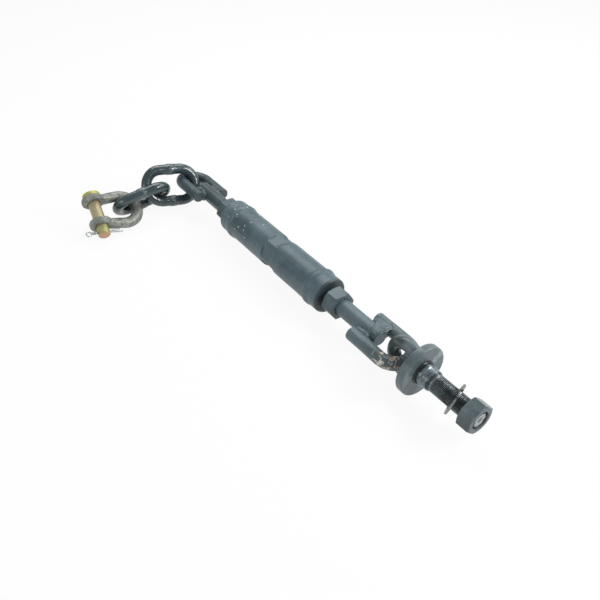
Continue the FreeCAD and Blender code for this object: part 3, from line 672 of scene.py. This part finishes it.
# Weld run laid round the barrel: overlapping ripples and a lap where it starts and stops
def makeBead(node, seed):
    form = beadForm
    low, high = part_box(node)
    centre = (low.x + high.x) / 2
    lap = random.Random(seed).uniform(0, 2 * math.pi)
    shift = Vector((seed * 5.0, 2.0, 9.0))

    def point(row, step):
        angle = 2 * math.pi * row / (form["steps"] - 1)
        share = step / (form["across"] - 1)
        side = 2 * share - 1
        arch = max(0.0, 1.0 - side ** 2) ** 1.15
        around = Vector((math.cos(angle) * 2.2, math.sin(angle) * 2.2, 0)) + shift
        sway = noise.noise(around * 1.3) * form["waver"]
        rise = 1.0 + 0.24 * noise.noise(around * 1.4 + Vector((0, 0, share * 1.2)))
        near = abs((angle - lap + math.pi) % (2 * math.pi) - math.pi)
        rise += form["lapRise"] * swell(near, form["lapHalf"])
        ripple = math.sin(angle * form["ripples"] + 2.4 * side ** 2) * form["ripple"] * arch
        radius = form["foot"] + form["height"] * rise * arch + 0.0003 * arch ** 0.4 + ripple
        radius = min(radius, form["limit"])
        x = centre + (share - 0.5) * form["width"] + sway
        return (x, radius * math.cos(angle), rowLevel + radius * math.sin(angle))

    mesh = meshFrom(node + "Run", form["steps"], form["across"], point, closed=False, capped=False)
    addPiece(node + "Run", mesh, barrelPaint, node, bodyOf(node))


flangeForm = {
    "radius": 0.0290,
    "back": -0.0090,
    "edge": 0.0013,
    "edgeSteps": 6,
    "around": 160,
    "uneven": 0.00014,
    "unevenFrom": 0.027,             # radius from which the rim is uneven
    "face": [(0.0, 0.0250), (-0.0002, 0.0220), (-0.0003, 0.0190), (-0.0003, 0.0160), (-0.0002, 0.0120)],
}


# Flange of the anchor, forged and then turned: square rim with small rounds, a faint dish round the boss
def makeFlange():
    form = flangeForm
    edge, radius, back = form["edge"], form["radius"], form["back"]
    rows = [(back, 0.0100), (back, 0.0200), (back + 0.0002, radius - edge * 1.6)]
    quarter = [math.pi / 2 * step / form["edgeSteps"] for step in range(form["edgeSteps"] + 1)]
    rows += [(back + edge * (1 - math.cos(angle)), radius - edge * (1 - math.sin(angle))) for angle in quarter]
    rows += [(back + edge + (-2 * edge - back) * step / 5, radius) for step in range(1, 5)]
    rows += [(-edge * (1 - math.sin(angle)), radius - edge * (1 - math.cos(angle))) for angle in quarter]
    rows += form["face"]

    def point(row, step):
        x, radius = rows[row]
        angle = 2 * math.pi * step / form["around"]
        spot = Vector((x * 90, math.cos(angle) * radius * 70, math.sin(angle) * radius * 70))
        push = form["uneven"] * (noise.noise(spot) + 0.5 * noise.noise(spot * 2.7))
        out = radius + (push - form["uneven"] if radius > form["unevenFrom"] else 0.0)
        return (min(x + push, 0.0) if x > -0.004 else x + push, out * math.cos(angle), out * math.sin(angle))

    mesh = meshFrom("anchorFlange", len(rows), form["around"], point)
    addPiece("anchorFlange", mesh, anchorPaint, None, "anchor")


studForm = {
    "boss": [
        (-0.004, 0.0150), (-0.0006, 0.0150), (0.0, 0.0138), (0.0008, 0.0129), (0.0020, 0.0125),
        (0.0062, 0.0125), (0.0069, 0.0123), (0.0074, 0.0116), (0.0080, 0.0115),
        (0.0142, 0.0115), (0.0150, 0.01135), (0.0172, 0.01030), (0.0179, 0.01000),
    ],
    "pitch": 0.0015,
    "depth": 0.00092,
    "crest": 0.00998,
    "start": 0.0180,
    "grow": 0.003,                   # length over which the thread reaches its depth
    "end": 0.0743,
    "lead": 0.0015,
    "recess": [(0.0, 0.0060), (-0.0004, 0.0022)],
    "perTurn": 9,
    "around": 80,
}


# Turned end of the anchor: boss, shank and a cut thread that winds along it
def makeStud():
    form = studForm
    rows = [(x, radius, 0.0) for x, radius in form["boss"]]
    count = int((form["end"] - form["start"]) / form["pitch"] * form["perTurn"])
    for index in range(count + 1):
        x = form["start"] + (form["end"] - form["start"]) * index / count
        radius = form["crest"] - max(0.0, x - (form["end"] - form["lead"]))
        rows.append((x, radius, min(1.0, (x - form["start"]) / form["grow"])))
    rows += [(form["end"] + away, radius, 0.0) for away, radius in form["recess"]]

    def point(row, step):
        x, radius, grow = rows[row]
        angle = 2 * math.pi * step / form["around"]
        if grow > 0:
            phase = (x / form["pitch"] - step / form["around"]) % 1.0
            groove = min(1.0, max(0.0, (1.0 - abs(phase * 2.0 - 1.0) - 0.12) / 0.80))
            radius = min(radius, form["crest"] - form["depth"] * groove * grow)
        return (x, radius * math.cos(angle), radius * math.sin(angle))

    mesh = meshFrom("anchorStud", len(rows), form["around"], point)
    addPiece("anchorStud", mesh, studSteel, None, "anchor")


ringForm = {
    "centre": (0.0428, 0.00023, -0.00019),
    "tilt": 27.3,
    "turn": -39.5,
    "middle": 0.0149,
    "wide": 0.0047,
    "thick": 0.0024,
    "square": 0.45,                  # 1 gives a round wire, less squares it
    "spring": 0.0007,
    "gap": 5.6,
    "steps": 120,
    "across": 20,
}


# Split ring on the stud: a square-edged wire coiled once, its two ends sprung apart
def makeRing():
    form = ringForm
    tilt, fall = math.radians(form["tilt"]), math.radians(form["turn"])
    facing = Vector((math.cos(tilt), math.sin(tilt) * math.cos(fall), math.sin(tilt) * math.sin(fall)))
    lean = Vector((1, 0, 0)).rotation_difference(facing)

    def point(row, step):
        share = row / (form["steps"] - 1)
        angle = math.radians(90.0 + form["gap"] + (360.0 - 2 * form["gap"]) * share)
        about = 2 * math.pi * step / form["across"]
        wide = form["wide"] / 2 * rounded(math.cos(about), form["square"])
        thick = form["thick"] / 2 * rounded(math.sin(about), form["square"])
        end = 1.0 - 0.12 * swell(min(share, 1 - share), 0.01)
        out = form["middle"] + wide * end
        away = thick * end + form["spring"] * (share - 0.5)
        spot = Vector((away, out * math.cos(angle), out * math.sin(angle)))
        return lean @ spot + Vector(form["centre"])

    mesh = meshFrom("ringCoil", form["steps"], form["across"], point)
    addPiece("ringCoil", mesh, ringSteel, "split_ring", "ring")


# The M20 rods and the legs of the loops beside them, for all that is welded over both
rodRadius, legRadius, legAway = 0.0100, 0.0077, 0.0190

weldForms = {
    "right_weld_near": {"from": -0.0905, "to": -0.0660, "side": -1, "roll": 0.0, "crown": 0.0002, "seed": 2},
    "right_weld_far": {"from": -0.0880, "to": -0.0625, "side": 1, "roll": 0.0, "crown": 0.0014, "seed": 5},
    "left_weld_near": {"from": -0.4345, "to": -0.4105, "side": -1, "roll": -14.0, "crown": 0.0008, "seed": 8},
    "left_weld_far": {"from": -0.4345, "to": -0.4105, "side": 1, "roll": -14.0, "crown": 0.0008, "seed": 11},
}
weldShape = {"wide": 0.0052, "tall": 0.0062, "under": 0.15, "square": 0.8, "long": 72, "around": 40}


# Weld between a rod and a leg of its loop: both flanks follow the bars, the face is rippled
def makeWeld(node, form, finish):
    shape = weldShape
    middle = (rodRadius + (legAway - legRadius)) / 2
    turn = math.radians(form["roll"])
    shift = Vector((form["seed"] * 4.0, 1.0, 6.0))

    def point(row, step):
        share = row / (shape["long"] - 1)
        x = form["from"] + (form["to"] - form["from"]) * share
        fill = min(1.0, math.sqrt(max(0.0, 1.0 - abs(2 * share - 1) ** 5.0)) + 0.02)
        angle = 2 * math.pi * step / shape["around"]
        across, up = math.cos(angle), math.sin(angle)
        place = Vector((x * 260, across * 0.9, up * 0.9)) + shift
        uneven = 1.0 + 0.26 * noise.noise(place) + 0.12 * noise.noise(place * 3.1)
        ripple = 1.0 + 0.05 * math.sin(share * 60 + 1.6 * abs(across))
        halfWide = shape["wide"] * fill * uneven
        crown = form["crown"] * (1.0 if up > 0 else shape["under"])
        halfTall = (shape["tall"] + crown) * fill * uneven * ripple
        y = form["side"] * (middle + halfWide * rounded(across, shape["square"]))
        z = halfTall * rounded(up, shape["square"])
        return (x, y * math.cos(turn) - z * math.sin(turn), rowLevel + y * math.sin(turn) + z * math.cos(turn))

    mesh = meshFrom(node + "Fill", shape["long"], shape["around"], point)
    addPiece(node + "Fill", mesh, finish, node, bodyOf(node))


saddleForm = {
    "nearFrom": -0.0715,
    "farFrom": -0.0850,
    "to": -0.0622,
    "thick": 0.0017,
    "sink": 0.0006,                  # how far the rim goes under the bars' faces
    "rodTurns": (146.0, 54.0),       # from the near side of the rod over its top
    "legTurns": (112.0, 52.0),
    "valley": (0.52, 0.72),          # share of the width that spans rod to leg
    "long": 56,
    "wide": 64,
}


# Broad cap of weld that runs over the right rod's end and across to the far leg of its loop
def makeSaddle():
    form = saddleForm
    overRod, overLeg = form["valley"]

    def barSpot(share, turns, radius, away):
        angle = math.radians(turns[0] + (turns[1] - turns[0]) * share)
        up = Vector((0, math.cos(angle), math.sin(angle)))
        return up * radius + Vector((0, away, 0)), up

    def guide(share):  # foot of the cap and its outward direction, seen along the row
        if share < overRod:
            return barSpot(share / overRod, form["rodTurns"], rodRadius, 0.0)
        if share > overLeg:
            return barSpot((share - overLeg) / (1.0 - overLeg), form["legTurns"], legRadius, legAway)
        first = barSpot(0.5199 / overRod, form["rodTurns"], rodRadius, 0.0)[0]
        last = barSpot(0.0001 / (1.0 - overLeg), form["legTurns"], legRadius, legAway)[0]
        return first.lerp(last, (share - overRod) / (overLeg - overRod)), Vector((0, 0.06, 1)).normalized()

    def point(row, step):
        u, v = row / (form["long"] - 1), step / (form["wide"] - 1)
        foot, up = guide(v)
        begin = form["nearFrom"] + (form["farFrom"] - form["nearFrom"]) * ease(v, 0.05, 0.80)
        begin += 0.0022 * noise.noise(Vector((v * 6.0, 0.4, 8.0)))
        finish = form["to"] + 0.0011 * noise.noise(Vector((v * 7.0, 3.4, 1.0)))
        rim = min(ease(u, 0.0, 0.16), ease(1 - u, 0.0, 0.12), ease(v, 0.0, 0.10), ease(1 - v, 0.0, 0.16))
        place = Vector((u * 3.2, v * 5.0, 3.0))
        lump = 1.0 + 0.40 * noise.noise(place) + 0.12 * noise.noise(place * 2.4)
        ripple = 0.00010 * math.sin(v * 52 + 5.0 * u * u)
        lift = (form["thick"] * lump + ripple) * rim - form["sink"] * (1.0 - rim)
        spot = foot + up * lift
        return (begin + (finish - begin) * u, spot.y, rowLevel + spot.z)

    mesh = meshFrom("weldSaddle", form["long"], form["wide"], point, closed=False, capped=False)
    addPiece("weldSaddle", mesh, loopPaint, None, "right_rod_body")


# Each forged piece: its finish, how high its lumps are and how wide, and how far its corners melt
forgedForms = {
    "anchor_bolt": {"finish": anchorPaint, "lump": 0.00022, "size": 0.012, "melt": 6, "seed": 1},
    "chain_link_big": {"finish": bigLinkPaint, "lump": 0.00032, "size": 0.011, "melt": 5, "seed": 3},
    "chain_link_small": {"finish": smallLinkPaint, "lump": 0.00028, "size": 0.011, "melt": 5, "seed": 4},
    "shackle_bow": {"finish": forging, "lump": 0.00030, "size": 0.011, "melt": 5, "seed": 7},
    "right_loop": {"finish": woundedPaint, "lump": 0.00022, "size": 0.011, "melt": 5, "seed": 5},
    "left_loop": {"finish": leftLoopPaint, "lump": 0.00026, "size": 0.011, "melt": 5, "seed": 6},
}
forgedGrid = 0.00065
forgingEnd = -0.0087  # right of this the anchor is turned: the flange and the stud have forms of their own


def cutAt(mesh, x):
    work = bmesh.new()
    work.from_mesh(mesh)
    bmesh.ops.remove_doubles(work, verts=work.verts, dist=1e-6)
    geometry = work.verts[:] + work.edges[:] + work.faces[:]
    cut = bmesh.ops.bisect_plane(work, geom=geometry, plane_co=(x, 0, 0), plane_no=(1, 0, 0), clear_outer=True)
    rim = [edge for edge in cut["geom_cut"] if isinstance(edge, bmesh.types.BMEdge)]
    bmesh.ops.holes_fill(work, edges=rim)
    work.to_mesh(mesh)
    work.free()


# Re-skins a hard CAD solid as one forged skin: corners melt a little and the surface gets lumps
def forgedSkin(node, form):
    source = frame["nodes"][node].data.copy()
    if node == "anchor_bolt":
        cutAt(source, forgingEnd)
    holder = bpy.data.objects.new("skinWork", source)
    bpy.context.scene.collection.objects.link(holder)
    remesh = holder.modifiers.new("skin", "REMESH")
    remesh.mode = "VOXEL"
    remesh.voxel_size = forgedGrid
    smooth = holder.modifiers.new("melt", "SMOOTH")
    smooth.factor = 0.5
    smooth.iterations = form["melt"]
    mesh = bpy.data.meshes.new_from_object(holder.evaluated_get(bpy.context.evaluated_depsgraph_get()))
    bpy.data.objects.remove(holder)
    shift = Vector((3.1, 1.7, 2.3)) * form["seed"]
    push = []
    for vertex in mesh.vertices:
        spot = vertex.co / form["size"] + shift
        wave = noise.noise(spot) + 0.45 * noise.noise(spot * 2.7) + 0.2 * noise.noise(spot * 7.0)
        push.append(vertex.normal * (wave * form["lump"]))
    for vertex, move in zip(mesh.vertices, push):
        vertex.co += move
    mesh.update()
    return mesh


def makeForgings():
    for node, form in forgedForms.items():
        name = "anchorForging" if node == "anchor_bolt" else node + "Skin"
        addPiece(name, forgedSkin(node, form), form["finish"], node, bodyOf(node))


makeBarrel()
for node, seed in beadForm["seeds"].items():
    makeBead(node, seed)
print("barrel made")
makeFlange()
makeStud()
makeRing()
makeForgings()
print("anchor, ring, loops, links and shackle made")
for node, form in weldForms.items():
    makeWeld(node, form, loopPaint if node.startswith("right") else leftLoopPaint)
makeSaddle()
print("welds made")

cadFinishes = {
    "right_socket": barrelPaint,
    "left_socket": barrelPaint,
    "right_rod": loopPaint,
    "left_rod": leftLoopPaint,
    "right_lock_nut": nutPaint,
    "left_lock_nut": chippedNutPaint,
    "anchor_nut": anchorNutPaint,
    "clevis_pin": zincGold,
    "split_pin": wireZinc,
}
for node, finish in cadFinishes.items():
    piece = frame["nodes"][node]
    piece.data.materials.clear()
    piece.data.materials.append(finish)
print("CAD pieces finished:", len(cadFinishes))

studio = {"floor": -0.0290, "half": 6.0, "floorTone": 0.80, "glow": 0.92, "fill": 0.42}
lamps = {
    "sheen": {"place": (-0.90, 0.40, 0.95), "size": (0.9, 0.6), "power": 7.0},
    "right": {"place": (0.50, 0.60, 0.60), "size": (0.25, 0.25), "power": 7.0},
    "back": {"place": (0.00, 0.95, 0.65), "size": (1.0, 0.4), "power": 5.0},
    "front": {"place": (-0.20, -1.00, 0.45), "size": (0.8, 0.4), "power": 2.5},
}
lampTarget = (-0.2, -0.02, 0.0)


def rayKinds(maker, kinds):  # 1 for a ray of any of these kinds
    seen = [maker.node("ShaderNodeLightPath", None, None, kind) for kind in kinds]
    total = seen[0]
    for other in seen[1:]:
        total = total.math("MAXIMUM", other)
    return total


def makeFloor():
    half, level = studio["half"], studio["floor"]
    corners = [(-half, -half, level), (half, -half, level), (half, half, level), (-half, half, level)]
    mesh = bpy.data.meshes.new("studioFloor")
    mesh.from_pydata(corners, [], [(0, 1, 2, 3)])
    floor = bpy.data.objects.new("studioFloor", mesh)
    bpy.context.collection.objects.link(floor)
    f = Finish("floorWhite")
    f.feed({"Base Color": tone(*[studio["floorTone"]] * 3), "Roughness": 0.9, "Specular IOR Level": 0.0})
    seen = rayKinds(f, ("Is Camera Ray", "Is Glossy Ray", "Is Transmission Ray"))
    glow = f.node("ShaderNodeEmission", None, {"Color": tone(1, 1, 1)})
    plain = Sock(f, f.surface.outputs[0])
    mixed = f.node("ShaderNodeMixShader", None, {0: seen * studio["glow"], 1: plain, 2: glow})
    f.tree.links.new(mixed.socket, f.tree.nodes["Material Output"].inputs[0])
    mesh.materials.append(f.material)


def softLamp(name, form):
    data = bpy.data.lights.new(name, "AREA")
    data.shape = "RECTANGLE"
    data.size, data.size_y = form["size"]
    data.energy = form["power"]
    lamp = bpy.data.objects.new(name, data)
    lamp.location = form["place"]
    away = Vector(lampTarget) - Vector(form["place"])
    lamp.rotation_euler = away.to_track_quat("-Z", "Y").to_euler()
    bpy.context.collection.objects.link(lamp)


def makeWorld():
    world = bpy.data.worlds.new("studioWorld")
    bpy.context.scene.world = world
    world.use_nodes = True
    sky = Maker(world.node_tree)
    seen = rayKinds(sky, ("Is Camera Ray", "Is Transmission Ray"))
    back = world.node_tree.nodes["Background"]
    back.inputs["Color"].default_value = tone(1, 1, 1)
    strength = seen * (1.0 - studio["fill"]) + studio["fill"]
    world.node_tree.links.new(strength.socket, back.inputs["Strength"])


photoView = {
    "lens": 39.6,
    "sensor": 36.0,
    "place": (0.2913, -0.3619, 0.4765),
    "right": (0.5879, 0.8089, 0.0006),
    "up": (-0.5255, 0.3814, 0.7606),
    "back": (0.615, -0.4475, 0.6493),
}


def makeCamera():
    view = photoView
    data = bpy.data.cameras.new("photoCamera")
    data.sensor_width = view["sensor"]
    data.lens = view["lens"]
    data.clip_start = 0.01
    camera = bpy.data.objects.new("photoCamera", data)
    bpy.context.collection.objects.link(camera)
    axes = Matrix((view["right"], view["up"], view["back"])).transposed().to_4x4()
    camera.matrix_world = Matrix.Translation(view["place"]) @ axes
    bpy.context.scene.camera = camera


makeFloor()
makeWorld()
for name, form in lamps.items():
    softLamp(name, form)
makeCamera()
bpy.context.scene.view_settings.view_transform = "Standard"
print("studio ready")
